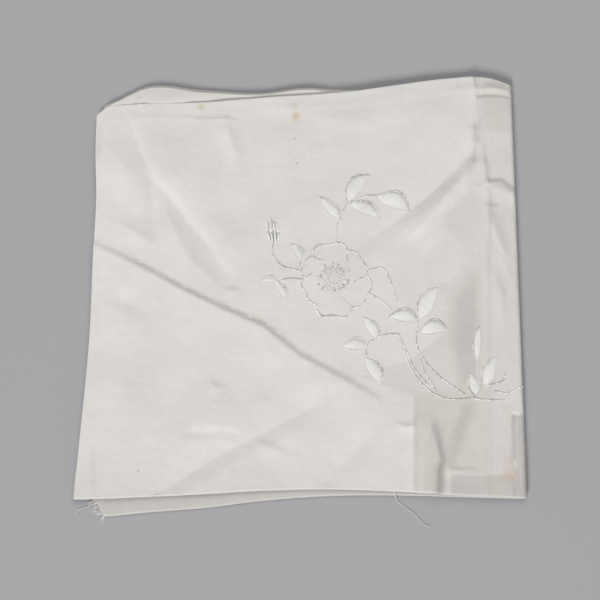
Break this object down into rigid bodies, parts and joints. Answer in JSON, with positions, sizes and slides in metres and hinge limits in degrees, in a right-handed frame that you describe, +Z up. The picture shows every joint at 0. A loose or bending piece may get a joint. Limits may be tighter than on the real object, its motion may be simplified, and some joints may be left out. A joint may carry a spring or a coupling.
{
  "type": "linen handkerchief",
  "caption": "White linen handkerchief with a narrow hem and floral embroidery, folded in quarters and lying flat, with frayed threads at one corner.",
  "frame": {"origin": "on the surface that the cloth lies on, under the middle of its box", "axes": "+Z up, +X towards the right-hand fold, +Y towards the hemmed top side"},
  "size_m": [0.204, 0.2168, 0.0076],
  "materials": {
    "linen": "plain woven white linen, slightly sheer and creased",
    "yarn": "white cotton and linen thread with a soft lustre"
  },
  "bodies": {
    "root": {"handkerchief": "linen", "frayed_corner": "yarn", "loose_thread": "yarn"}
  },
  "joints": []
}
